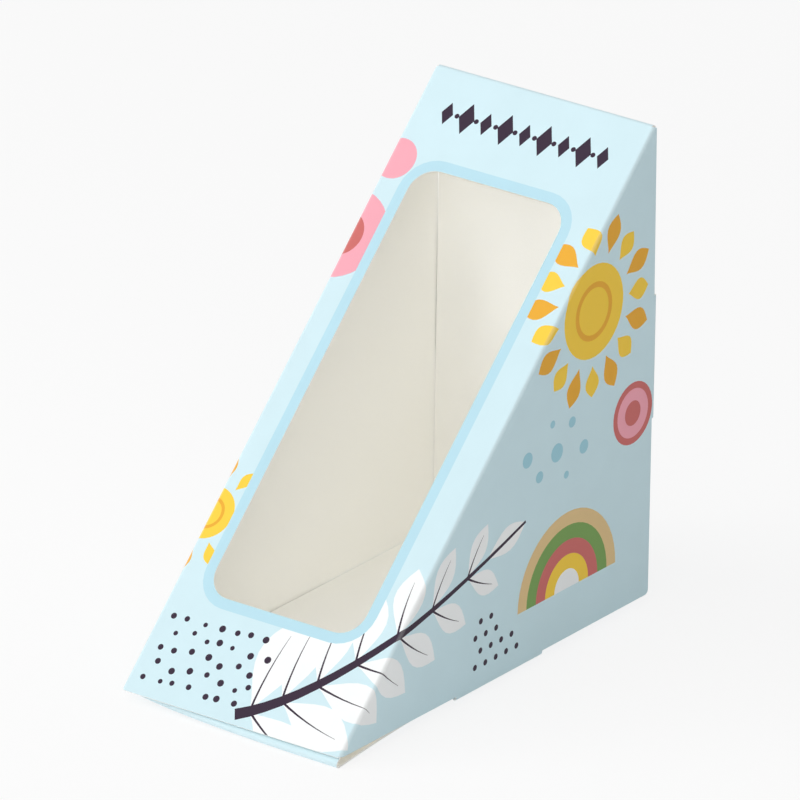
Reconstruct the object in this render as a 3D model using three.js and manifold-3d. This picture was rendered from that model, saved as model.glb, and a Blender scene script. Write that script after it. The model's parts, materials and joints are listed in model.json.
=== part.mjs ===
// Wedge pack for two sandwich halves: one printed board sheet folded round a triangle, with a clear
// film window in its sloping front. Millimetres, +Z up, the sloping window faces -Y.
import * as THREE from 'three';
import { mergeVertices } from 'three/addons/utils/BufferGeometryUtils.js';
import Module from 'manifold-3d';

// Driving dimensions of the folded sheet
const width = 65;
const baseDepth = 125;
const backHeight = 123.3;
const board = 0.45;
const clearance = 0.3;
const creaseRadius = 0.9;
const topCreaseRadius = 0.7;
const flapCornerRadius = 1.2;

// Tuck flap that continues the base and stands behind the window panel's lower edge
const tuckLength = 19;
const tuckGap = 0.35;
const panelLift = 0.5;

// Spring of the base: its front end stands a little down the slope, more on the right than the left
const bowLeft = 0.3;
const bowRight = 4;
const bowReach = 47;

// Window cut-out, with its margins from the outer edges of the sloping panel
const windowMarginLeft = 9;
const windowMarginRight = 11.3;
const windowMarginBottom = 29.7;
const windowMarginTop = 27.8;
const windowCornerRadius = 6.5;
const filmBorder = 6;
const filmThickness = 0.15;

// Lock tabs in the middle of each side flap's lower and rear edge
const tabReach = 6;
const tabBulge = 1.35;
const tabFoldRadius = 0.6;
const tabTaper = 2.5;
const tabCornerRadius = 1.6;
const baseTabStart = 46.7;
const baseTabLength = 34.8;
const backTabStart = 46;
const backTabLength = 32;
const notchPlay = 0.7;

// Directions of the slope: (x, s, n) runs across, up the slope, and out of the window panel
const slopeLength = Math.hypot(baseDepth, backHeight);
const upSlope = new THREE.Vector3(0, baseDepth / slopeLength, backHeight / slopeLength);
const outOfSlope = new THREE.Vector3(0, -upSlope.z, upSlope.y);
const acrossPack = new THREE.Vector3(1, 0, 0);
const slopeFrame = new THREE.Matrix4().makeBasis(acrossPack, upSlope, outOfSlope);

// A profile drawn in the pack's side view, with its first axis along Y and its second up Z
const sideView = new THREE.Matrix4().makeBasis(
  new THREE.Vector3(0, 1, 0), new THREE.Vector3(0, 0, 1), acrossPack,
);

const arcSteps = 6;
const bowSteps = 8;
const overcut = 1;
const halfWidth = width / 2;

const manifold = await Module();
manifold.setup();

// Solids and geometry

function solid(geometry, matrix = new THREE.Matrix4()) {
  const bare = new THREE.BufferGeometry();
  bare.setAttribute('position', geometry.getAttribute('position').clone());
  bare.setIndex(geometry.index ? geometry.index.clone() : null);
  bare.applyMatrix4(matrix);
  const merged = mergeVertices(bare, 1e-4);
  return new manifold.Manifold(new manifold.Mesh({
    numProp: 3,
    vertProperties: new Float32Array(merged.attributes.position.array),
    triVerts: new Uint32Array(merged.index.array),
  }));
}

function geometryOf(body) {
  const mesh = body.getMesh();
  const geometry = new THREE.BufferGeometry();
  geometry.setAttribute('position', new THREE.BufferAttribute(new Float32Array(mesh.vertProperties), 3));
  geometry.setIndex(new THREE.BufferAttribute(new Uint32Array(mesh.triVerts), 1));
  geometry.computeVertexNormals();
  return geometry;
}

function mirroredAcross(geometry) {
  const copy = geometry.clone().applyMatrix4(new THREE.Matrix4().makeScale(-1, 1, 1));
  const corners = copy.index.array;
  for (let i = 0; i < corners.length; i += 3) {
    [corners[i + 1], corners[i + 2]] = [corners[i + 2], corners[i + 1]];
  }
  copy.computeVertexNormals();
  return copy;
}

function extruded(points, depth, steps = 1) {
  const options = { depth, steps, bevelEnabled: false, curveSegments: arcSteps };
  return new THREE.ExtrudeGeometry(new THREE.Shape(points), options);
}

// Points of an arc that rounds the corner at `corner` between two straight runs
function cornerArc(before, corner, after, radius) {
  const back = before.clone().sub(corner).normalize();
  const ahead = after.clone().sub(corner).normalize();
  const half = Math.acos(THREE.MathUtils.clamp(back.dot(ahead), -1, 1)) / 2;
  const centre = back.clone().add(ahead).normalize().multiplyScalar(radius / Math.sin(half)).add(corner);
  const tangent = radius / Math.tan(half);
  const first = back.multiplyScalar(tangent).add(corner).sub(centre);
  const last = ahead.multiplyScalar(tangent).add(corner).sub(centre);
  const start = first.angle();
  let turn = last.angle() - start;
  turn -= Math.round(turn / (2 * Math.PI)) * 2 * Math.PI;
  return Array.from({ length: arcSteps + 1 }, (_, i) => {
    const angle = start + (turn * i) / arcSteps;
    return new THREE.Vector2(Math.cos(angle), Math.sin(angle)).multiplyScalar(radius).add(centre);
  });
}

function roundedOutline(corners, radii) {
  return corners.flatMap((corner, i) => {
    const before = corners.at(i - 1);
    const after = corners[(i + 1) % corners.length];
    return cornerArc(before, corner, after, radii[i]);
  });
}

// Outline of a board strip of the sheet's thickness that follows a folded line
function foldedStrip(folds, radii) {
  const line = folds.flatMap((fold, i) => (
    i === 0 || i === folds.length - 1 || !radii[i]
      ? [fold]
      : cornerArc(folds[i - 1], fold, folds[i + 1], radii[i])
  ));
  const sides = line.map((point, i) => {
    const before = line[Math.max(i - 1, 0)];
    const after = line[Math.min(i + 1, line.length - 1)];
    const into = point.clone().sub(before).normalize();
    const out = after.clone().sub(point).normalize();
    const along = into.add(out).normalize();
    const share = i === 0 || i === line.length - 1 ? 1 : along.dot(after.clone().sub(point).normalize());
    return new THREE.Vector2(-along.y, along.x).multiplyScalar(board / 2 / share);
  });
  const left = line.map((point, i) => point.clone().add(sides[i]));
  const right = line.map((point, i) => point.clone().sub(sides[i]));
  return [...right, ...left.reverse()];
}

// Board sheet: tuck flap, base, back and window panel

const inSlope = (s, depthIn) => new THREE.Vector2(
  upSlope.y * s - outOfSlope.y * depthIn,
  upSlope.z * s - outOfSlope.z * depthIn,
);

function sheetSection() {
  const tuckDepth = board * 1.5 + tuckGap;
  const panelDepth = board / 2;
  const baseLevel = board / 2;
  const backPlace = baseDepth - board / 2;
  const tuckFold = (baseLevel + outOfSlope.z * tuckDepth) / upSlope.z;
  const panelTop = (backPlace + outOfSlope.y * panelDepth) / upSlope.y;
  const frontFold = inSlope(tuckFold, tuckDepth);
  const bowPoints = Array.from({ length: bowSteps }, (_, i) => (
    new THREE.Vector2(frontFold.x + creaseRadius * 3 + (bowReach * (i + 1)) / bowSteps, baseLevel)
  ));
  const folds = [
    inSlope(tuckLength, tuckDepth), frontFold, ...bowPoints,
    new THREE.Vector2(backPlace, baseLevel), inSlope(panelTop, panelDepth), inSlope(panelLift, panelDepth),
  ];
  const radii = folds.map(() => 0);
  radii[1] = creaseRadius;
  radii[bowSteps + 2] = creaseRadius;
  radii[bowSteps + 3] = topCreaseRadius;
  return foldedStrip(folds, radii);
}

// Depth of a point behind the window panel's outer face
const depthBehindPanel = (point) => -point.dot(outOfSlope);

// The base springs down the slope at its front, and carries the tuck flap with it
function springBase(geometry) {
  const places = geometry.getAttribute('position');
  const point = new THREE.Vector3();
  const tuckInside = board * 2 + tuckGap;
  const reach = bowReach * upSlope.z;
  const tuckTop = tuckLength * upSlope.z + board;
  for (let i = 0; i < places.count; i += 1) {
    point.fromBufferAttribute(places, i);
    const depth = depthBehindPanel(point);
    if (depth < board + tuckGap / 2 || point.z > tuckTop) continue;
    const drop = THREE.MathUtils.mapLinear(point.x, -halfWidth, halfWidth, bowLeft, bowRight);
    const fade = THREE.MathUtils.clamp(1 - (depth - tuckInside) / reach, 0, 1);
    point.addScaledVector(upSlope, -drop * fade * fade);
    places.setXYZ(i, point.x, point.y, point.z);
  }
  return geometry;
}

// Cutter along the right slanting edge, drawn across the slope: x first, then height out of the panel
function edgeCutter(points) {
  const reach = slopeLength + 20;
  const endView = new THREE.Matrix4().makeBasis(acrossPack, outOfSlope, upSlope.clone().negate());
  const shift = new THREE.Matrix4().makeTranslation(0, 0, -reach);
  const geometry = extruded(points.map(([x, n]) => new THREE.Vector2(x, n)), reach + 20);
  return geometry.applyMatrix4(shift).applyMatrix4(endView);
}

const mitre = clearance / Math.SQRT2;
const sheetInset = board + clearance;

function sheetEdgeCutter() {
  const far = baseDepth;
  return edgeCutter([
    [halfWidth + overcut, -far], [halfWidth + overcut, overcut], [halfWidth - mitre + overcut, overcut],
    [halfWidth - sheetInset, mitre - sheetInset], [halfWidth - sheetInset, -far],
  ]);
}

function flapEdgeCutter() {
  return edgeCutter([
    [halfWidth + overcut, overcut - mitre], [halfWidth + overcut, overcut * 2],
    [halfWidth - board - overcut, overcut * 2], [halfWidth - board - overcut, -board - overcut - mitre],
  ]);
}

const windowEdges = {
  left: -halfWidth + windowMarginLeft,
  right: halfWidth - windowMarginRight,
  bottom: windowMarginBottom,
  top: slopeLength - windowMarginTop,
};

// A sheet lying in the slope round the window, larger than the cut-out by a border
function windowSheet(border, thickness, depthIn) {
  const left = windowEdges.left - border;
  const right = windowEdges.right + border;
  const bottom = windowEdges.bottom - border;
  const top = windowEdges.top + border;
  const corners = [[left, bottom], [right, bottom], [right, top], [left, top]];
  const outline = roundedOutline(
    corners.map(([x, s]) => new THREE.Vector2(x, s)),
    corners.map(() => windowCornerRadius),
  );
  const lowered = new THREE.Matrix4().makeTranslation(0, 0, -depthIn - thickness);
  return extruded(outline, thickness).applyMatrix4(lowered).applyMatrix4(slopeFrame);
}

// Notch in the sheet's side edge that a lock tab closes into
function notchCutter(size, centre) {
  const box = new THREE.BoxGeometry(size.x, size.y, size.z);
  return box.translate(centre.x, centre.y, centre.z);
}

function baseNotch() {
  const deep = tabReach + notchPlay;
  const size = new THREE.Vector3(deep, baseTabLength + notchPlay * 2, board * 4);
  const middle = baseTabStart + baseTabLength / 2;
  return notchCutter(size, new THREE.Vector3(halfWidth - deep / 2, middle, board / 2));
}

function backNotch() {
  const deep = tabReach + notchPlay;
  const size = new THREE.Vector3(deep, board * 4, backTabLength + notchPlay * 2);
  const middle = backTabStart + backTabLength / 2;
  return notchCutter(size, new THREE.Vector3(halfWidth - deep / 2, baseDepth - board / 2, middle));
}

function cartonGeometry() {
  const centred = new THREE.Matrix4().makeTranslation(-halfWidth, 0, 0);
  const sheet = extruded(sheetSection(), width, bowSteps).applyMatrix4(sideView).applyMatrix4(centred);
  let body = solid(springBase(sheet));
  const rightCuts = [sheetEdgeCutter(), baseNotch(), backNotch()];
  for (const cutter of rightCuts) {
    body = body.subtract(solid(cutter));
    body = body.subtract(solid(mirroredAcross(mergeVertices(bareCopy(cutter)))));
  }
  body = body.subtract(solid(windowSheet(0, board * 4, -board)));
  return geometryOf(body);
}

function bareCopy(geometry) {
  const bare = new THREE.BufferGeometry();
  bare.setAttribute('position', geometry.getAttribute('position').clone());
  bare.setIndex(geometry.index ? geometry.index.clone() : null);
  return bare;
}

// Side flap: a triangle hinged on the slanting crease, with a lock tab on each free edge

// Lock tab in its own frame: x along the edge, y beyond the edge, z inward from the outer face
function lockTab(length) {
  const section = foldedStrip([
    new THREE.Vector2(-overcut, board / 2),
    new THREE.Vector2(tabBulge - board / 2, board / 2),
    new THREE.Vector2(-board / 2, tabReach),
  ], [0, tabFoldRadius, 0]);
  const edgeOn = new THREE.Matrix4().makeBasis(
    new THREE.Vector3(0, 1, 0), new THREE.Vector3(0, 0, 1), new THREE.Vector3(1, 0, 0),
  );
  const bent = solid(extruded(section, length), edgeOn);
  const outline = roundedOutline([
    new THREE.Vector2(0, -overcut), new THREE.Vector2(length, -overcut),
    new THREE.Vector2(length - tabTaper, tabReach - board / 4), new THREE.Vector2(tabTaper, tabReach - board / 4),
  ], [0.01, 0.01, tabCornerRadius, tabCornerRadius]);
  const faceOn = new THREE.Matrix4().makeBasis(
    new THREE.Vector3(1, 0, 0), new THREE.Vector3(0, 0, 1), new THREE.Vector3(0, -1, 0),
  );
  const height = tabBulge * 6;
  const centred = new THREE.Matrix4().makeTranslation(0, 0, -height / 2);
  const mask = solid(extruded(outline, height).applyMatrix4(centred), faceOn);
  return geometryOf(bent.intersect(mask));
}

function sideFlapGeometry() {
  const outline = roundedOutline(
    [new THREE.Vector2(0, 0), new THREE.Vector2(baseDepth, 0), new THREE.Vector2(baseDepth, backHeight)],
    [flapCornerRadius, flapCornerRadius, flapCornerRadius],
  );
  const inner = new THREE.Matrix4().makeTranslation(halfWidth - board, 0, 0);
  const plate = extruded(outline, board).applyMatrix4(sideView).applyMatrix4(inner);
  const inward = new THREE.Vector3(-1, 0, 0);
  const basePlace = new THREE.Matrix4()
    .makeBasis(new THREE.Vector3(0, 1, 0), new THREE.Vector3(0, 0, -1), inward)
    .setPosition(halfWidth, baseTabStart, 0);
  const backPlace = new THREE.Matrix4()
    .makeBasis(new THREE.Vector3(0, 0, 1), new THREE.Vector3(0, 1, 0), inward)
    .setPosition(halfWidth, baseDepth, backTabStart);
  const body = solid(plate)
    .subtract(solid(flapEdgeCutter()))
    .add(solid(lockTab(baseTabLength), basePlace))
    .add(solid(lockTab(backTabLength), backPlace));
  return geometryOf(body);
}

// The pack

const printedBoard = { color: 0xdcecf2, roughness: 0.5, metalness: 0, side: THREE.DoubleSide };

function piece(name, geometry, finish) {
  const mesh = new THREE.Mesh(geometry, new THREE.MeshStandardMaterial(finish));
  mesh.name = name;
  return mesh;
}

function wedgePack() {
  const sideFlap = sideFlapGeometry();
  const film = windowSheet(filmBorder, filmThickness, board + clearance);
  const folded = new THREE.Group();
  folded.add(
    piece('carton', cartonGeometry(), printedBoard),
    piece('window_film', film, { color: 0xf4f6f5, roughness: 0.08, transparent: true, opacity: 0.25 }),
    piece('side_flap_right', sideFlap, printedBoard),
    piece('side_flap_left', mirroredAcross(sideFlap), printedBoard),
  );
  // The origin is the middle of the pack's footprint, at the level it stands on
  const box = new THREE.Box3().setFromObject(folded);
  const middle = box.getCenter(new THREE.Vector3());
  folded.position.set(-middle.x, -middle.y, -box.min.z);
  const pack = new THREE.Group();
  pack.add(folded);
  return pack;
}

export default wedgePack();
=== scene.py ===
import json
import math
import random

import bpy
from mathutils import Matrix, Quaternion, Vector, geometry


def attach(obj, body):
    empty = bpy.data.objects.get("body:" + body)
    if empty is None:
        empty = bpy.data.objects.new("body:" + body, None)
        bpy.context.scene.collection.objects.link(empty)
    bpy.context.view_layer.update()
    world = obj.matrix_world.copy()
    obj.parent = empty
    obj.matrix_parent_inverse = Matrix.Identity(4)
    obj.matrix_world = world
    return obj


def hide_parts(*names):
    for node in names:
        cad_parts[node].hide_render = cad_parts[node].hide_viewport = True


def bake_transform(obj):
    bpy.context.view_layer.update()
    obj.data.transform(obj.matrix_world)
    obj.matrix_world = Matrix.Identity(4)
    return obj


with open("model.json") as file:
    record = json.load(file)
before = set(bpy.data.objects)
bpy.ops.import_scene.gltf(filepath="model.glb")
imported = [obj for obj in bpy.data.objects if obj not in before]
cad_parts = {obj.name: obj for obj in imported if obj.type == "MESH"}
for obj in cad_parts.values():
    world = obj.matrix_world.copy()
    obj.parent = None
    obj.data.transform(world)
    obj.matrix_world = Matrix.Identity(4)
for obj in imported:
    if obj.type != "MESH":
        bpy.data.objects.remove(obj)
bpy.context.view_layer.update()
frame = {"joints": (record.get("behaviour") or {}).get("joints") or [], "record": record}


# Folded board sheet: one piece of white cartonboard, about 0.45 mm thick and printed on its outer
# face. It runs from the window panel over the top crease, down the back, along the base and up the
# tuck flap. All its folds bend away from the print, and each is a straight, an arc and a straight.

board = 0.00045
fold_radius = 0.001125
top_fold_radius = 0.000925
side_fold_radius = 0.0009
tuck_length = 0.019
tuck_gap = 0.00035
panel_lift = 0.0005
bow_left = 0.0003
bow_right = 0.00395
bow_reach = 0.047
bow_swell = 0.55
sheet_inset = board + 0.0003

right_crease = next(j for j in frame["joints"] if j["name"] == "flap_right_crease")
mounts = {mount["name"]: mount for mount in frame["record"]["mounts"]}
front_corner = Vector(right_crease["pos_m"])
half_width = front_corner.x
up_slope = -Vector(right_crease["axis"]).normalized()
into_pack = Vector((0, up_slope.z, -up_slope.y))
base_depth = mounts["back_face"]["pos_m"][1] - front_corner.y
back_height = base_depth * up_slope.z / up_slope.y
slope_length = math.hypot(base_depth, back_height)
flat_crease = half_width - side_fold_radius
crease_length = side_fold_radius * math.pi / 2


class FoldLine:
    """Board seen edge on: straights joined by arcs, read by the length along its outer face."""

    def __init__(self, corners, radii):
        self.runs = []
        self.bends = []
        self.length = 0.0
        place = corners[0]
        for corner, after, radius in zip(corners[1:], corners[2:], radii):
            heading = (corner - place).normalized()
            ahead = (after - corner).normalized()
            turn = math.atan2(heading.x * ahead.y - heading.y * ahead.x, heading.dot(ahead))
            set_back = radius * math.tan(abs(turn) / 2)
            self.add_run(place, heading, (corner - place).length - set_back, 0.0)
            self.bends.append((self.length, self.length + radius * abs(turn)))
            self.add_run(corner - heading * set_back, heading, radius * abs(turn), turn)
            place = corner + ahead * set_back
        self.add_run(place, (corners[-1] - place).normalized(), (corners[-1] - place).length, 0.0)

    def add_run(self, place, heading, length, turn):
        self.runs.append((self.length, place, heading, length, turn))
        self.length += length

    def at(self, distance):
        """The point on the outer face and the heading there."""
        run = next((r for r in self.runs if distance <= r[0] + r[3]), self.runs[-1])
        start, place, heading, length, turn = run
        along = distance - start
        if not turn:
            return place + heading * along, heading
        angle = turn * along / length
        radius = length / abs(turn) * math.copysign(1, turn)
        side = Vector((-heading.y, heading.x))
        cos, sin = math.cos(angle), math.sin(angle)
        turned = heading * cos + side * sin
        return place + side * radius * (1 - cos) + heading * radius * sin, turned

    def fold_lines(self, steps):
        """Lengths at which the sheet is divided so that each arc comes out round."""
        return [a + (b - a) * i / steps for a, b in self.bends for i in range(steps + 1)]


def side_point(s, depth):
    """A point in the pack's side view, from its place up the slope and its depth behind the panel."""
    place = front_corner + up_slope * s + into_pack * depth
    return Vector((place.y, place.z))


base_level = front_corner.z
back_place = front_corner.y + base_depth
tuck_depth = board + tuck_gap
tuck_start = tuck_depth * up_slope.y / up_slope.z
sheet_line = FoldLine(
    [
        side_point(panel_lift, 0), Vector((back_place, base_level + back_height)),
        Vector((back_place, base_level)), side_point(tuck_start, tuck_depth),
        side_point(tuck_length, tuck_depth),
    ],
    [top_fold_radius, fold_radius, fold_radius],
)


def sprung(point):
    """The base's front end stands down the slope, more on the right, and takes the tuck flap along."""
    depth = (point - front_corner).dot(into_pack)
    height = point.z - base_level
    if depth < board + tuck_gap / 2 or height > tuck_length * up_slope.z + board:
        return point
    share = min(max((point.x + half_width) / (2 * half_width), 0), 1)
    drop = bow_left + (bow_right - bow_left) * math.sin(math.pi / 2 * share ** bow_swell)
    fade = min(max(1 - (depth - board - tuck_depth) / (bow_reach * up_slope.z), 0), 1)
    return point - up_slope * drop * fade * fade


def sheet_place(u, v, depth):
    """Where a point of the flat sheet lies once folded; depth is below the printed face."""
    place, heading = sheet_line.at(v - panel_lift)
    outward = Vector((0, -heading.y, heading.x))
    return sprung(Vector((u, place.x, place.y)) - outward * depth), outward


# This share of a fold pales the print there, partly as wear and partly as a painted highlight of the
# crease.
def sheet_wear_and_highlight(u, v):
    """How far a point is into a fold, from 0 at its edges to 1 along its middle."""
    for start, end in sheet_line.bends:
        if start < v - panel_lift < end:
            return math.sin(math.pi * (v - panel_lift - start) / (end - start))
    return 0.0


def rounded(corners, radii, steps=7):
    """An outline with an arc of its own radius at each corner; radius 0 keeps the corner sharp."""
    points = []
    for index, corner in enumerate(corners):
        radius = radii[index]
        before = (corners[index - 1] - corner).normalized()
        after = (corners[(index + 1) % len(corners)] - corner).normalized()
        if not radius:
            points.append(corner)
            continue
        half = before.angle(after) / 2
        centre = corner + (before + after).normalized() * (radius / math.sin(half))
        first = corner + before * (radius / math.tan(half)) - centre
        last = corner + after * (radius / math.tan(half)) - centre
        sweep = math.atan2(first.x * last.y - first.y * last.x, first.dot(last))
        for step in range(steps + 1):
            cos, sin = math.cos(sweep * step / steps), math.sin(sweep * step / steps)
            turned = Vector((first.x * cos - first.y * sin, first.x * sin + first.y * cos))
            points.append(centre + turned)
    return points


def ink(red, green, blue):
    """A printed colour from its screen values, as linear light."""
    return tuple(
        (c / 12.92 if c <= 0.04045 else ((c + 0.055) / 1.055) ** 2.4)
        for c in (red / 255, green / 255, blue / 255)
    )


pale_blue = ink(208, 233, 240)
band_blue = ink(184, 222, 235)
leaf_white = ink(246, 248, 248)
plum = ink(45, 24, 48)
sun_yellow = ink(249, 208, 66)
amber = ink(235, 172, 48)
mist_teal = ink(160, 208, 222)
rose = ink(243, 168, 182)
coral = ink(205, 108, 104)
sage = ink(120, 160, 84)
straw = ink(226, 196, 142)

millimetre = 0.001
# Fold paling: each point's share of a fold, which mixes the print towards white, partly as wear and
# partly as a painted highlight of the rounded crease.
fold_wear_highlight_name = "fold_wear"
print_name = "print"


def anticlockwise(loop):
    turned = sum(a.x * b.y - a.y * b.x for a, b in zip(loop, loop[1:] + loop[:1]))
    return loop if turned > 0 else loop[::-1]


def cut_and_print(outline, holes, score_lines, prints):
    """Divides the flat sheet along its folds and round every print. The last print is on top."""
    points, edges, loops = [], [], []
    for loop in [outline, *holes, *(shape for _, shape in prints)]:
        loops.append(list(range(len(points), len(points) + len(loop))))
        points.extend(p / millimetre for p in anticlockwise(loop))
    for a, b in score_lines:
        edges.append((len(points), len(points) + 1))
        points.extend((Vector(a) / millimetre, Vector(b) / millimetre))
    triangles_inside, tolerance = 1, 1e-4
    flat, _, triangles, _, _, sources = geometry.delaunay_2d_cdt(
        points, edges, loops, triangles_inside, tolerance,
    )
    kept = []
    for triangle, source in zip(triangles, sources):
        if 0 not in source or any(1 <= s <= len(holes) for s in source):
            continue
        top = max(source) - 1 - len(holes)
        kept.append((list(triangle), prints[top][0] if top >= 0 else pale_blue))
    return [Vector(p) * millimetre for p in flat], kept


def folded_board(name, flat, faces, place, wear_and_highlight, mirrored=False):
    """Folds the divided sheet into a board with a printed face, a plain face and a cut edge."""
    used = sorted({corner for face, _ in faces for corner in face})
    index_of = {corner: i for i, corner in enumerate(used)}
    outer = [place(flat[i].x, flat[i].y, 0.0) for i in used]
    inner = [place(flat[i].x, flat[i].y, board) for i in used]
    count = len(used)
    polygons, normals, inks, plain = [], [], [], []
    sides = {}
    for face, colour in faces:
        corners = [index_of[c] for c in face]
        for a, b in zip(corners, corners[1:] + corners[:1]):
            sides[(a, b)] = sides.get((a, b), 0) + 1
        front = corners[::-1] if mirrored else corners
        polygons.append(front)
        normals.extend(outer[c][1] for c in front)
        polygons.append([c + count for c in front[::-1]])
        normals.extend(-outer[c][1] for c in front[::-1])
        inks.extend((colour, colour))
        plain.extend((0, 1))
    for a, b in [side for side in sides if (side[1], side[0]) not in sides]:
        rim = [b, a, a + count, b + count]
        rim = rim[::-1] if mirrored else rim
        places = [(outer[c] if c < count else inner[c - count])[0] for c in rim]
        across = (places[1] - places[0]).cross(places[2] - places[1]).normalized()
        polygons.append(rim)
        normals.extend([across] * 4)
        inks.append(leaf_white)
        plain.append(1)
    mesh = bpy.data.meshes.new(name)
    mesh.from_pydata([p for p, _ in outer] + [p for p, _ in inner], [], polygons)
    mesh.polygons.foreach_set("material_index", plain)
    mesh.polygons.foreach_set("use_smooth", [True] * len(polygons))
    printed = mesh.attributes.new(print_name, "FLOAT_COLOR", "CORNER")
    for polygon, colour in zip(mesh.polygons, inks):
        for corner in polygon.loop_indices:
            printed.data[corner].color = (*colour, 1.0)
    # Share of a fold at each point, for the paler wear and painted highlight along the folds.
    folds = mesh.attributes.new(fold_wear_highlight_name, "FLOAT", "POINT")
    worn_and_lit = [wear_and_highlight(flat[i].x, flat[i].y) for i in used]
    folds.data.foreach_set("value", worn_and_lit + worn_and_lit)
    mesh.normals_split_custom_set([tuple(n) for n in normals])
    mesh.materials.append(printed_finish)
    mesh.materials.append(plain_finish)
    piece = bpy.data.objects.new(name, mesh)
    bpy.context.scene.collection.objects.link(piece)
    return piece


# Paper fibre: the short pale and dark strands and the soft cloudiness of cartonboard. It comes from
# the pulp of the board and shows on both faces, more on the plain one.

def new_nodes(tree):
    """Clears a node tree and returns a maker of nodes with their values, and one of links."""
    tree.nodes.clear()

    def add(kind, **values):
        node = tree.nodes.new(kind)
        for key, value in values.items():
            if hasattr(node, key):
                setattr(node, key, value)
            else:
                node.inputs[key.replace("_", " ")].default_value = value
        return node

    return add, tree.links.new


fibre_group = bpy.data.node_groups.new("paper_fibre", "ShaderNodeTree")
for socket, kind, way in (
    ("Strand Scale", "NodeSocketFloat", "INPUT"), ("Cloud Scale", "NodeSocketFloat", "INPUT"),
    ("Strands", "NodeSocketFloat", "OUTPUT"), ("Clouds", "NodeSocketFloat", "OUTPUT"),
    ("Relief", "NodeSocketFloat", "OUTPUT"),
):
    fibre_group.interface.new_socket(socket, in_out=way, socket_type=kind)
add, join = new_nodes(fibre_group)
given = add("NodeGroupInput")
given_back = add("NodeGroupOutput")
place_on_board = add("ShaderNodeTexCoord")
stretch = add("ShaderNodeMapping", Scale=(1.0, 0.45, 0.45))
strands = add("ShaderNodeTexNoise", Detail=6.0, Roughness=0.7, Distortion=1.2)
clouds = add("ShaderNodeTexNoise", Detail=3.0, Roughness=0.5)
join(place_on_board.outputs["Object"], stretch.inputs["Vector"])
join(stretch.outputs["Vector"], strands.inputs["Vector"])
join(place_on_board.outputs["Object"], clouds.inputs["Vector"])
join(given.outputs["Strand Scale"], strands.inputs["Scale"])
join(given.outputs["Cloud Scale"], clouds.inputs["Scale"])
relief = add("ShaderNodeMath", operation="MULTIPLY_ADD")
relief.inputs[1].default_value = 0.25
join(strands.outputs["Fac"], relief.inputs[0])
join(clouds.outputs["Fac"], relief.inputs[2])
join(strands.outputs["Fac"], given_back.inputs["Strands"])
join(clouds.outputs["Fac"], given_back.inputs["Clouds"])
join(relief.outputs["Value"], given_back.inputs["Relief"])


# Printed face: offset inks under a thin satin varnish. The ink lies a little unevenly, and along the
# folds it is mixed towards white: partly board showing through, partly a painted highlight of the
# rounded crease catching the light.

printed_finish = bpy.data.materials.new("printed_board_face")
printed_finish.use_nodes = True
add, join = new_nodes(printed_finish.node_tree)
out = add("ShaderNodeOutputMaterial")
varnish = add("ShaderNodeBsdfPrincipled", IOR=1.48)
varnish.inputs["Specular IOR Level"].default_value = 0.2
fibre = add("ShaderNodeGroup")
fibre.node_tree = fibre_group
fibre.inputs["Strand Scale"].default_value = 2600.0
fibre.inputs["Cloud Scale"].default_value = 90.0
inks = add("ShaderNodeAttribute", attribute_name=print_name)
folds = add("ShaderNodeAttribute", attribute_name=fold_wear_highlight_name)
mottle = add("ShaderNodeMapRange")
mottle.inputs["To Min"].default_value = 0.965
mottle.inputs["To Max"].default_value = 1.03
uneven = add("ShaderNodeVectorMath", operation="SCALE")
# Along the folds the ink is mixed towards white: partly wear, partly a painted highlight of the crease
# catching the light.
paler = add("ShaderNodeMix", data_type="RGBA", blend_type="MIX")
paler.inputs[7].default_value = (*leaf_white, 1.0)
paler_share = add("ShaderNodeMath", operation="MULTIPLY")
paler_share.inputs[1].default_value = 0.28
fold_patches = add("ShaderNodeMath", operation="MULTIPLY")
gloss = add("ShaderNodeMapRange")
gloss.inputs["To Min"].default_value = 0.36
gloss.inputs["To Max"].default_value = 0.5
surface = add("ShaderNodeBump", Strength=0.12, Distance=0.00025)
join(fibre.outputs["Clouds"], mottle.inputs["Value"])
join(inks.outputs["Color"], uneven.inputs[0])
join(mottle.outputs["Result"], uneven.inputs["Scale"])
join(folds.outputs["Fac"], fold_patches.inputs[0])
join(fibre.outputs["Strands"], fold_patches.inputs[1])
join(fold_patches.outputs["Value"], paler_share.inputs[0])
join(paler_share.outputs["Value"], paler.inputs[0])
join(uneven.outputs["Vector"], paler.inputs[6])
join(paler.outputs[2], varnish.inputs["Base Color"])
join(fibre.outputs["Strands"], gloss.inputs["Value"])
join(gloss.outputs["Result"], varnish.inputs["Roughness"])
join(fibre.outputs["Relief"], surface.inputs["Height"])
join(surface.outputs["Normal"], varnish.inputs["Normal"])
join(varnish.outputs["BSDF"], out.inputs["Surface"])


# Plain face and cut edge: bare, slightly warm cartonboard with a soft matt fibre surface. It's the
# unprinted inside of the pack and the thin edge that the cutting die leaves.

plain_finish = bpy.data.materials.new("plain_board_face")
plain_finish.use_nodes = True
add, join = new_nodes(plain_finish.node_tree)
out = add("ShaderNodeOutputMaterial")
bare = add("ShaderNodeBsdfPrincipled", IOR=1.45)
fibre = add("ShaderNodeGroup")
fibre.node_tree = fibre_group
fibre.inputs["Strand Scale"].default_value = 1700.0
fibre.inputs["Cloud Scale"].default_value = 60.0
tone = add("ShaderNodeMix", data_type="RGBA")
tone.inputs[6].default_value = (*ink(248, 247, 243), 1.0)
tone.inputs[7].default_value = (*ink(251, 250, 247), 1.0)
flecks = add("ShaderNodeMath", operation="MULTIPLY_ADD")
flecks.inputs[1].default_value = 0.6
cloud_share = add("ShaderNodeMath", operation="MULTIPLY")
cloud_share.inputs[1].default_value = 0.45
matt = add("ShaderNodeMapRange")
matt.inputs["To Min"].default_value = 0.62
matt.inputs["To Max"].default_value = 0.78
surface = add("ShaderNodeBump", Strength=0.2, Distance=0.00012)
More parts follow.
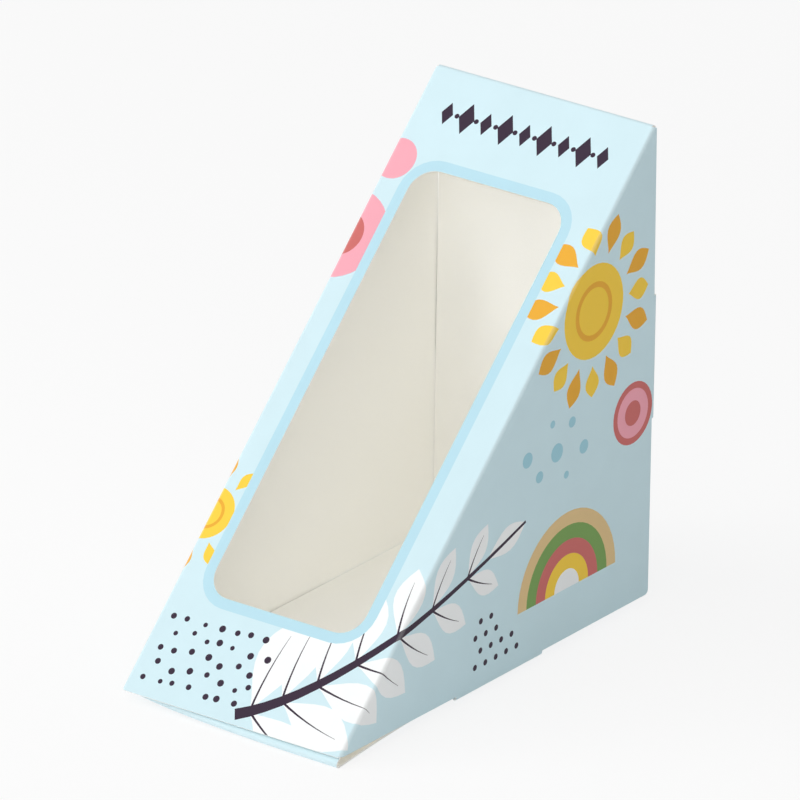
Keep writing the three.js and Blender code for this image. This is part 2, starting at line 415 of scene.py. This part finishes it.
join(fibre.outputs["Clouds"], cloud_share.inputs[0])
join(fibre.outputs["Strands"], flecks.inputs[0])
join(cloud_share.outputs["Value"], flecks.inputs[2])
join(flecks.outputs["Value"], tone.inputs[0])
join(tone.outputs[2], bare.inputs["Base Color"])
join(fibre.outputs["Strands"], matt.inputs["Value"])
join(matt.outputs["Result"], bare.inputs["Roughness"])
join(fibre.outputs["Relief"], surface.inputs["Height"])
join(surface.outputs["Normal"], bare.inputs["Normal"])
join(bare.outputs["BSDF"], out.inputs["Surface"])


# Printed shapes, drawn on the flat sheet in millimetres: u across from the window panel's middle,
# v up the slope from its front edge. What passes a crease runs on over the side flap.

def disc(u, v, radius, corners=36):
    turns = [2 * math.pi * i / corners for i in range(corners)]
    return [Vector((u + radius * math.cos(t), v + radius * math.sin(t))) for t in turns]


def petal(u, v, heading, length, width, corners=9):
    """A leaf shape that grows from a point in one direction, fullest past its middle."""
    along = Vector((math.cos(heading), math.sin(heading)))
    side = Vector((-along.y, along.x))
    steps = [i / corners for i in range(corners + 1)]
    spread = [width / 2 * math.sin(math.pi * t ** 1.25) for t in steps]
    root = Vector((u, v))
    left = [root + along * length * t + side * w for t, w in zip(steps, spread)]
    right = [root + along * length * t - side * w for t, w in zip(steps, spread)]
    return left + right[-2:0:-1]


def stroke(points, widths):
    """A ribbon along a line of points, with a width at each."""
    left, right = [], []
    for i, point in enumerate(points):
        heading = (points[min(i + 1, len(points) - 1)] - points[max(i - 1, 0)]).normalized()
        side = Vector((-heading.y, heading.x)) * widths[i] / 2
        left.append(point + side)
        right.append(point - side)
    return left + right[::-1]


def curve(start, middle, end, steps=14):
    """Points on one smooth bow from start to end that leans towards middle."""
    marks = [i / steps for i in range(steps + 1)]
    return [start * (1 - t) ** 2 + middle * 2 * t * (1 - t) + end * t ** 2 for t in marks]


def sun(u, v, core, reach, rays, face, glow):
    """A plain sun: a disc in a ring, with separate leaf-shaped rays, every other one shorter."""
    root = core * 1.18
    shapes = []
    for i in range(rays):
        turn = 2 * math.pi * i / rays
        length = (reach - root) * (1 if i % 2 else 0.82)
        ray = petal(u + root * math.cos(turn), v + root * math.sin(turn), turn, length, core * 0.46)
        shapes.append((glow if i % 2 else face, ray))
    shapes.append((face, disc(u, v, core)))
    shapes.append((glow, disc(u, v, core * 0.62)))
    shapes.append((face, disc(u, v, core * 0.5)))
    return shapes


def sprig(start, middle, end, pairs, longest, shortest, blade, vein, stem_width):
    """A stem with paired leaves that shorten towards its tip, each with a midrib."""
    line = curve(start, middle, end, pairs * 2)
    blades, ribs = [], []
    for i in range(1, pairs * 2 - 1, 2):
        share = i / (pairs * 2)
        heading = math.atan2(*(line[i + 1] - line[i - 1]).yx)
        length = longest + (shortest - longest) * share
        for side in (1, -1):
            angle = heading + side * math.radians(58 - 22 * share)
            way = Vector((math.cos(angle), math.sin(angle)))
            blades.append((blade, petal(line[i].x, line[i].y, angle, length, length * 0.46)))
            tip = line[i] + way * length * 0.8
            bow = line[i] + way * length * 0.4 + Vector((-way.y, way.x)) * side * length * 0.05
            rib = curve(line[i], bow, tip, 6)
            ribs.append((vein, stroke(rib, [0.62 - 0.09 * k for k in range(7)])))
    top = math.atan2(*(line[-1] - line[-3]).yx)
    blades.append((blade, petal(line[-3].x, line[-3].y, top, shortest * 1.5, shortest * 0.6)))
    stem = stroke(line, [stem_width * (1 - 0.8 * k / len(line)) for k in range(len(line))])
    return blades + ribs + [(vein, stem)]


def scatter(u_range, v_range, pitch, radius, colour, seed):
    """Small dots on a loose staggered grid."""
    chance = random.Random(seed)
    loose = 0.22
    shapes = []
    rows = int((v_range[1] - v_range[0]) / pitch)
    for row in range(rows + 1):
        across = u_range[0] + (pitch / 2 if row % 2 else 0)
        while across <= u_range[1]:
            u = across + chance.uniform(-loose, loose) * pitch
            v = v_range[0] + row * pitch + chance.uniform(-loose, loose) * pitch
            shapes.append((colour, disc(u, v, radius * chance.uniform(0.75, 1.15), 12)))
            across += pitch
    return shapes


def arches(u, v, turn, radii, colours, steps=24):
    """Nested half rings, the largest first."""
    shapes = []
    angles = [turn + math.pi * i / steps for i in range(steps + 1)]
    for radius, colour in zip(radii, colours):
        arc = [Vector((u + radius * math.cos(a), v + radius * math.sin(a))) for a in angles]
        shapes.append((colour, arc))
    return shapes


def diamond_row(u, v, width, count, size, colour):
    """A border of upright diamonds with a dot between each pair."""
    pitch = width / (count - 1)
    shapes = []
    for i in range(count):
        across = u - width / 2 + pitch * i
        tall = size * (1.0 if i % 2 else 0.72)
        corners = ((0, -tall), (tall * 0.55, 0), (0, tall), (-tall * 0.55, 0))
        shapes.append((colour, [Vector((across + a, v + b)) for a, b in corners]))
        if i < count - 1:
            shapes.append((colour, disc(across + pitch / 2, v, size * 0.16, 12)))
    return shapes


def flat_place(y, z):
    """Flat place of a point of the right side flap, from its place in the side view."""
    across = flat_crease + crease_length - side_fold_radius + y * into_pack.y + z * into_pack.z
    return Vector((across, y * up_slope.y + z * up_slope.z))


def flat_on_side(y, z):
    """The same in millimetres, for the printed shapes."""
    return flat_place(y * millimetre, z * millimetre) / millimetre


def drops(*places):
    """Small round drops on a side flap, each with its place in the side view and its radius."""
    return [(mist_teal, disc(*flat_on_side(y, z), radius, 20)) for y, z, radius in places]


def metres(shapes):
    return [(colour, [p * millimetre for p in shape]) for colour, shape in shapes]


level_turn = math.atan2(up_slope.z, into_pack.z) - math.pi / 2
sun_place = flat_on_side(100, 82)
arch_place = flat_on_side(91, 13)
disc_place = flat_on_side(117, 50)
arch_inks = (straw, sage, coral, sun_yellow, leaf_white)
right_prints = [
    *sun(*sun_place, 12, 24, 16, sun_yellow, amber),
    *arches(*arch_place, level_turn, (20, 16.4, 12.6, 8.8, 5), arch_inks),
    (coral, disc(*disc_place, 8)),
    (rose, disc(*disc_place, 6.3)),
    (coral, disc(*disc_place, 3.2)),
    *drops(
        (86, 50, 2.4), (92, 56, 1.4), (79, 46, 1.5), (84, 58, 1.0), (97, 48, 1.8), (90, 43, 1.0),
        (74, 52, 2.0),
    ),
    *sprig(Vector((0, 3)), Vector((27, 16)), Vector((58, 78)), 8, 27, 11, leaf_white, plum, 3.0),
]
front_prints = [
    *sun(-33, 49, 7, 16, 12, sun_yellow, amber),
    (rose, disc(-35, 126, 12)),
    (coral, disc(-35, 126, 6)),
    (rose, disc(-30.5, 148, 5.5)),
    *scatter((-28, 1), (5, 24), 4.4, 0.82, plum, 3),
    *diamond_row(0, 162.5, 46, 9, 4.2, plum),
]


# Window cut-out: a punched opening with round corners, set a little left of the panel's middle, with
# a printed band of stronger blue all round it.

left_margin = 0.009
right_margin = 0.0113
window_bottom = 0.0297
top_margin = 0.0278
window_left = half_width - left_margin
window_right = half_width - right_margin
window_top = slope_length - top_margin
window_radius = 0.0065
band_width = 0.0028


def window_outline(grow):
    left, right = -window_left - grow, window_right + grow
    bottom, top = window_bottom - grow, window_top + grow
    corners = [Vector(c) for c in ((left, bottom), (right, bottom), (right, top), (left, top))]
    return rounded(corners, [window_radius + grow] * 4)


window_band = [(band_blue, window_outline(band_width))]


# The sheet itself: window panel, back, base and tuck flap in one length, cut a little narrower than
# the pack below the top crease, so that the side flaps close over its edges.

base_start, base_rear = sheet_line.runs[4][:2]


def along_the_base(y):
    """Flat place of a distance from the front on the base."""
    return panel_lift + base_start + (base_rear.x - front_corner.y - y)


side_shoulder = 0.001
bow_rows, bow_columns = 12, 16
bow_margin = 0.004
sheet_edge = half_width - sheet_inset
top_fold_start = panel_lift + sheet_line.bends[0][0]
sheet_end = panel_lift + sheet_line.length
right_side = [
    (flat_crease, panel_lift), (flat_crease, top_fold_start),
    (sheet_edge, top_fold_start + side_shoulder), (sheet_edge, sheet_end),
]
sheet_outline = [Vector(p) for p in right_side] + [Vector((-u, v)) for u, v in reversed(right_side)]

fold_steps = 8
score_lines = [
    (Vector((-sheet_edge, panel_lift + v)), Vector((sheet_edge, panel_lift + v)))
    for v in sheet_line.fold_lines(fold_steps)
]
sprung_start = along_the_base(bow_reach + bow_margin)
for step in range(bow_rows):
    v = sprung_start + (along_the_base(bow_margin) - sprung_start) * step / bow_rows
    score_lines.append((Vector((-sheet_edge, v)), Vector((sheet_edge, v))))
for step in range(1, bow_columns):
    u = -sheet_edge + 2 * sheet_edge * step / bow_columns
    score_lines.append((Vector((u, sprung_start)), Vector((u, sheet_end))))

sheet_prints = metres(right_prints + front_prints) + window_band
flat, faces = cut_and_print(sheet_outline, [window_outline(0)], score_lines, sheet_prints)
sheet_board = folded_board("folded_sheet", flat, faces, sheet_place, sheet_wear_and_highlight)
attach(sheet_board, "sheet")
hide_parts("carton")


# Side flaps: a triangle of the same sheet on each long edge of the window panel. It is bent round a
# soft crease, and a lock tab in the middle of each free edge bends under the base or behind the back.

tab_reach = 0.006
tab_bulge = 0.00135
tab_fold_radius = 0.000825
tab_rest = 0.0005
base_tab = (0.0467, 0.0815)
back_tab = (0.046, 0.078)
tab_taper = 0.0025
tab_corner_radius = 0.0016
tab_root_taper = 0.0002
flap_corner = 0.0012
front_end_play = 0.0004
top_end_play = 0.0008
score_overrun = 0.002
tab_line = FoldLine(
    [Vector((0, 0)), Vector((tab_bulge, 0)), Vector((tab_rest, tab_reach - board))],
    [tab_fold_radius],
)


def side_view(u, v):
    """Distance from the front edge, and height over the base, of a flat point past the crease."""
    depth = side_fold_radius + u - flat_crease - crease_length
    return up_slope.y * v + into_pack.y * depth, up_slope.z * v + into_pack.z * depth


def flap_place(u, v, depth, hand):
    """Where a point of the flat side flap lies once folded, on the right for hand 1, left for -1."""
    out = Vector((hand, 0, 0))
    if u < flat_crease + crease_length:
        angle = (u - flat_crease) / side_fold_radius
        outward = out * math.sin(angle) - into_pack * math.cos(angle)
        centre = front_corner + up_slope * v + into_pack * side_fold_radius
        centre.x = flat_crease * hand
        return centre + outward * (side_fold_radius - depth), outward
    y, z = side_view(u, v)
    edge, away, past = Vector((hand * half_width, front_corner.y + y, base_level + z)), out, 0.0
    if z < 0:
        edge.z, away, past = base_level, Vector((0, 0, -1)), -z
    elif y > base_depth:
        edge.y, away, past = back_place, Vector((0, 1, 0)), y - base_depth
    if not past:
        return edge - out * depth, out
    bent, heading = tab_line.at(past)
    outward = away * heading.y + out * heading.x
    return edge + away * bent.x - out * bent.y - outward * depth, outward


# Share of the crease or a tab bend at a point of a side flap, for the same paler wear and painted
# highlight.
def flap_wear_and_highlight(u, v):
    bent = (u - flat_crease) / crease_length
    if 0 < bent < 1:
        return math.sin(math.pi * bent)
    y, z = side_view(u, v)
    start, end = tab_line.bends[0]
    past = max(-z, y - base_depth)
    return math.sin(math.pi * (past - start) / (end - start)) if start < past < end else 0.0


def tab_outline(first, last):
    """A lock tab along an edge: distance along it, and flat distance beyond it. Its ends taper."""
    long = tab_line.length
    fold_end = tab_line.bends[0][1]
    corners = [
        Vector((first, 0)), Vector((first + tab_root_taper, fold_end)),
        Vector((first + tab_taper, long)), Vector((last - tab_taper, long)),
        Vector((last - tab_root_taper, fold_end)), Vector((last, 0)),
    ]
    return rounded(corners, [0, 0, tab_corner_radius, tab_corner_radius, 0, 0])


base_edge = [flat_place(a, -b) for a, b in tab_outline(*base_tab)]
back_edge = [flat_place(base_depth + b, a) for a, b in tab_outline(*back_tab)]
rear_corner = rounded(
    [flat_place(base_tab[1], 0), flat_place(base_depth, 0), flat_place(base_depth, back_tab[1])],
    [0, flap_corner, 0],
)[1:-1]
crease_end = flat_crease + crease_length
tip_y = side_fold_radius / into_pack.y
top_z = (side_fold_radius - base_depth * into_pack.y) / into_pack.z
flap_outline = [
    Vector((flat_crease, panel_lift)), Vector((crease_end, flat_place(tip_y, 0).y + front_end_play)),
    *base_edge, *rear_corner, *back_edge,
    Vector((crease_end, flat_place(base_depth, top_z).y - top_end_play)),
    Vector((flat_crease, top_fold_start)),
]
crease_lines = [flat_crease + crease_length * i / fold_steps for i in range(1, fold_steps + 1)]
flap_scores = [
    (Vector((u, -score_overrun)), Vector((u, slope_length + score_overrun))) for u in crease_lines
]
for past in [0.0] + tab_line.fold_lines(fold_steps):
    first, last = base_tab[0] - score_overrun, base_tab[1] + score_overrun
    flap_scores.append((flat_place(first, -past), flat_place(last, -past)))
    first, last = back_tab[0] - score_overrun, back_tab[1] + score_overrun
    flap_scores.append((flat_place(base_depth + past, first), flat_place(base_depth + past, last)))

side_dots = [
    (plum, disc(*flat_on_side(y, z), 0.8, 12)) for y, z in (
        (54 + 4.2 * column + 2.1 * (row % 2), 5 + 3.8 * row)
        for row in range(4) for column in range(5 - row)
    )
]
left_sprig = (flat_on_side(66, 42), flat_on_side(88, 50), flat_on_side(112, 92))
left_prints = [
    *arches(*flat_on_side(73, 12), level_turn, (17, 14, 10.8, 7.6, 4.4), arch_inks),
    *sun(*flat_on_side(104, 36), 8.5, 18, 16, sun_yellow, amber),
    *sprig(*left_sprig, 6, 15, 7, leaf_white, plum, 1.4),
    *drops((47, 17, 2.4), (41, 23, 1.4), (51, 25, 1.2), (44, 9, 1.6), (30, 7, 2.0), (36, 13, 1.2)),
]


def side_flap(name, node, hand, prints):
    """A side flap with its prints, which are placed as on the right one."""
    flat, faces = cut_and_print(flap_outline, [], flap_scores, metres(prints))

    def place(u, v, depth):
        return flap_place(u, v, depth, hand)

    flap = folded_board(name, flat, faces, place, flap_wear_and_highlight, mirrored=hand < 0)
    start = front_corner.copy()
    start.x = flat_crease * hand
    end = front_corner + into_pack * side_fold_radius
    end.x = half_width * hand
    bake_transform(flap)
    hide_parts(node)


front_mirrored = [(colour, [Vector((-p.x, p.y)) for p in shape]) for colour, shape in front_prints]
side_flap("right_side_flap", "side_flap_right", 1, right_prints + side_dots)
side_flap("left_side_flap", "side_flap_left", -1, left_prints + front_mirrored)


# Window film: a thin clear sheet glued behind the cut-out, with a little slack between its glued
# edges, so that it bellies out slightly and takes light softly.

film_border = 0.006
film_glue = 0.00008
film_depth = board + film_glue
film_slack = 0.00015
film_ripple = 0.00003
film_index = 1.6
across_steps, up_steps = 24, 60


def film_point(i, j):
    """A point of the film: flat where it is glued, bellied and faintly rippled in the opening."""
    wide, tall = window_left + window_right, window_top - window_bottom
    x = -window_left - film_border + (wide + 2 * film_border) * i / across_steps
    s = window_bottom - film_border + (tall + 2 * film_border) * j / up_steps
    free_u = min(max((x + window_left) / wide, 0), 1)
    free_v = min(max((s - window_bottom) / tall, 0), 1)
    swell_u, swell_v = math.sin(math.pi * free_u), math.sin(math.pi * free_v)
    belly = film_slack * swell_u * swell_v ** 0.6
    ripple = film_ripple * math.sin(9 * free_u + 4 * free_v) * swell_u * swell_v
    place = front_corner + up_slope * s + into_pack * (film_depth - belly + ripple)
    return Vector((x, place.y, place.z))


film_mesh = bpy.data.meshes.new("window_film_sheet")
film_mesh.from_pydata(
    [film_point(i, j) for j in range(up_steps + 1) for i in range(across_steps + 1)], [],
    [
        (a, a + 1, a + across_steps + 2, a + across_steps + 1)
        for a in (j * (across_steps + 1) + i for j in range(up_steps) for i in range(across_steps))
    ],
)
film_mesh.polygons.foreach_set("use_smooth", [True] * len(film_mesh.polygons))
film = bpy.data.objects.new("window_film_sheet", film_mesh)
bpy.context.scene.collection.objects.link(film)

film_finish = bpy.data.materials.new("clear_film")
film_finish.use_nodes = True
add, join = new_nodes(film_finish.node_tree)
out = add("ShaderNodeOutputMaterial")
clear = add("ShaderNodeBsdfTransparent")
clear.inputs["Color"].default_value = (0.985, 0.988, 0.988, 1.0)
shine = add("ShaderNodeBsdfPrincipled", IOR=1.49)
shine.inputs["Base Color"].default_value = (0.9, 0.91, 0.91, 1.0)
shine.inputs["Metallic"].default_value = 1.0
place_on_film = add("ShaderNodeTexCoord")
haze = add("ShaderNodeTexNoise", Scale=70.0, Detail=4.0)
haze_range = add("ShaderNodeMapRange")
haze_range.inputs["To Min"].default_value = 0.09
haze_range.inputs["To Max"].default_value = 0.13
side_seen = add("ShaderNodeNewGeometry")
same_both_sides = add("ShaderNodeMath", operation="MULTIPLY_ADD")
same_both_sides.inputs[1].default_value = 1 / film_index - film_index
same_both_sides.inputs[2].default_value = film_index
slope = add("ShaderNodeFresnel")
share = add("ShaderNodeMixShader")
join(place_on_film.outputs["Object"], haze.inputs["Vector"])
join(haze.outputs["Fac"], haze_range.inputs["Value"])
join(haze_range.outputs["Result"], shine.inputs["Roughness"])
join(side_seen.outputs["Backfacing"], same_both_sides.inputs[0])
join(same_both_sides.outputs["Value"], slope.inputs["IOR"])
join(slope.outputs["Fac"], share.inputs[0])
join(clear.outputs["BSDF"], share.inputs[1])
join(shine.outputs["BSDF"], share.inputs[2])
join(share.outputs["Shader"], out.inputs["Surface"])
film.data.materials.append(film_finish)
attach(film, "sheet")
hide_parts("window_film")


# Studio: a pale table without an edge in view, soft lamps overhead, on the left and on the right,
# and a small one that shows as a soft glare in the window's upper right.

def seen_directly(add, join):
    """1 for rays that see a surface themselves, in a reflection or through something clear."""
    ray = add("ShaderNodeLightPath")
    mirrored = add("ShaderNodeMath", operation="ADD")
    seen = add("ShaderNodeMath", operation="ADD", use_clamp=True)
    join(ray.outputs["Is Camera Ray"], mirrored.inputs[0])
    join(ray.outputs["Is Glossy Ray"], mirrored.inputs[1])
    join(mirrored.outputs["Value"], seen.inputs[0])
    join(ray.outputs["Is Transmission Ray"], seen.inputs[1])
    return seen.outputs["Value"]


def pale_card(name, tint):
    card = bpy.data.materials.new(name)
    card.use_nodes = True
    add, join = new_nodes(card.node_tree)
    out = add("ShaderNodeOutputMaterial")
    paper = add("ShaderNodeBsdfPrincipled", Roughness=0.9)
    grain = add("ShaderNodeTexNoise", Scale=12.0, Detail=2.0)
    tone = add("ShaderNodeMix", data_type="RGBA")
    tone.inputs[6].default_value = (*tint, 1.0)
    tone.inputs[7].default_value = (*[min(c * 1.02, 1.0) for c in tint], 1.0)
    seen = add("ShaderNodeEmission", Strength=1.0)
    even_out = add("ShaderNodeMath", operation="MULTIPLY")
    even_out.inputs[1].default_value = 0.85
    share = add("ShaderNodeMixShader")
    join(grain.outputs["Fac"], tone.inputs[0])
    join(tone.outputs[2], paper.inputs["Base Color"])
    join(tone.outputs[2], seen.inputs["Color"])
    join(seen_directly(add, join), even_out.inputs[0])
    join(even_out.outputs["Value"], share.inputs[0])
    join(paper.outputs["BSDF"], share.inputs[1])
    join(seen.outputs["Emission"], share.inputs[2])
    join(share.outputs["Shader"], out.inputs["Surface"])
    return card


table_mesh = bpy.data.meshes.new("table")
table_reach = 3.0
table_corners = [(x * table_reach, y * table_reach, 0) for x, y in ((-1, -1), (1, -1), (1, 1), (-1, 1))]
table_mesh.from_pydata(table_corners, [], [(0, 1, 2, 3)])
table = bpy.data.objects.new("table", table_mesh)
bpy.context.scene.collection.objects.link(table)
table_mesh.materials.append(pale_card("pale_card", ink(252, 252, 252)))


def soft_lamp(name, place, target, size, power):
    light = bpy.data.lights.new(name, "AREA")
    light.shape = "RECTANGLE"
    light.size, light.size_y = size
    light.energy = power
    lamp = bpy.data.objects.new(name, light)
    lamp.location = place
    lamp.rotation_euler = (Vector(target) - Vector(place)).to_track_quat("-Z", "Y").to_euler()
    bpy.context.scene.collection.objects.link(lamp)


middle = Vector((0, 0, 0.06))
soft_lamp("key_lamp", (-0.228, -0.538, 1.513), middle, (1.0, 1.0), 6)
soft_lamp("left_lamp", (-1.4, -0.9, 0.8), middle, (1.0, 1.0), 15)
soft_lamp("fill_lamp", (0.9, -1.1, 0.9), middle, (1.0, 1.0), 5.5)
glare_place = (0.044, 0.0473, 0.1114)
soft_lamp("film_lamp", (-0.2275, -0.1418, 0.4858), glare_place, (0.12, 0.08), 0.11)

world = bpy.data.worlds.new("studio_air")
bpy.context.scene.world = world
world.use_nodes = True
add, join = new_nodes(world.node_tree)
out = add("ShaderNodeOutputWorld")
air = add("ShaderNodeBackground", Strength=0.45)
seen_air = add("ShaderNodeBackground", Strength=0.95)
share = add("ShaderNodeMixShader")
join(seen_directly(add, join), share.inputs[0])
join(air.outputs["Background"], share.inputs[1])
join(seen_air.outputs["Background"], share.inputs[2])
join(share.outputs["Shader"], out.inputs["Surface"])


# Camera: far away with a long lens, so that the pack's edges run nearly parallel. It stands 36 degrees
# round to the right and looks down by 23.

view_turn = math.radians(36.13)
view_drop = math.radians(22.87)
view_roll = math.radians(0.87)
view_distance = 3.4435
view_aim = front_corner + Vector((0.003065 - half_width, 0.06243, 0.06377))
level = math.cos(view_drop)
back = Vector((math.sin(view_turn) * level, -math.cos(view_turn) * level, math.sin(view_drop)))
lens = bpy.data.cameras.new("camera")
lens.sensor_width = 36.0
lens.lens = 650.7
lens.clip_end = 20.0
camera = bpy.data.objects.new("camera", lens)
camera.location = view_aim + back * view_distance
camera.rotation_mode = "QUATERNION"
camera.rotation_quaternion = Quaternion(back, view_roll) @ back.to_track_quat("Z", "Y")
bpy.context.scene.collection.objects.link(camera)
bpy.context.scene.camera = camera

bpy.context.scene.view_settings.view_transform = "Standard"
bpy.context.scene.cycles.max_bounces = 24
bpy.context.scene.cycles.diffuse_bounces = 20
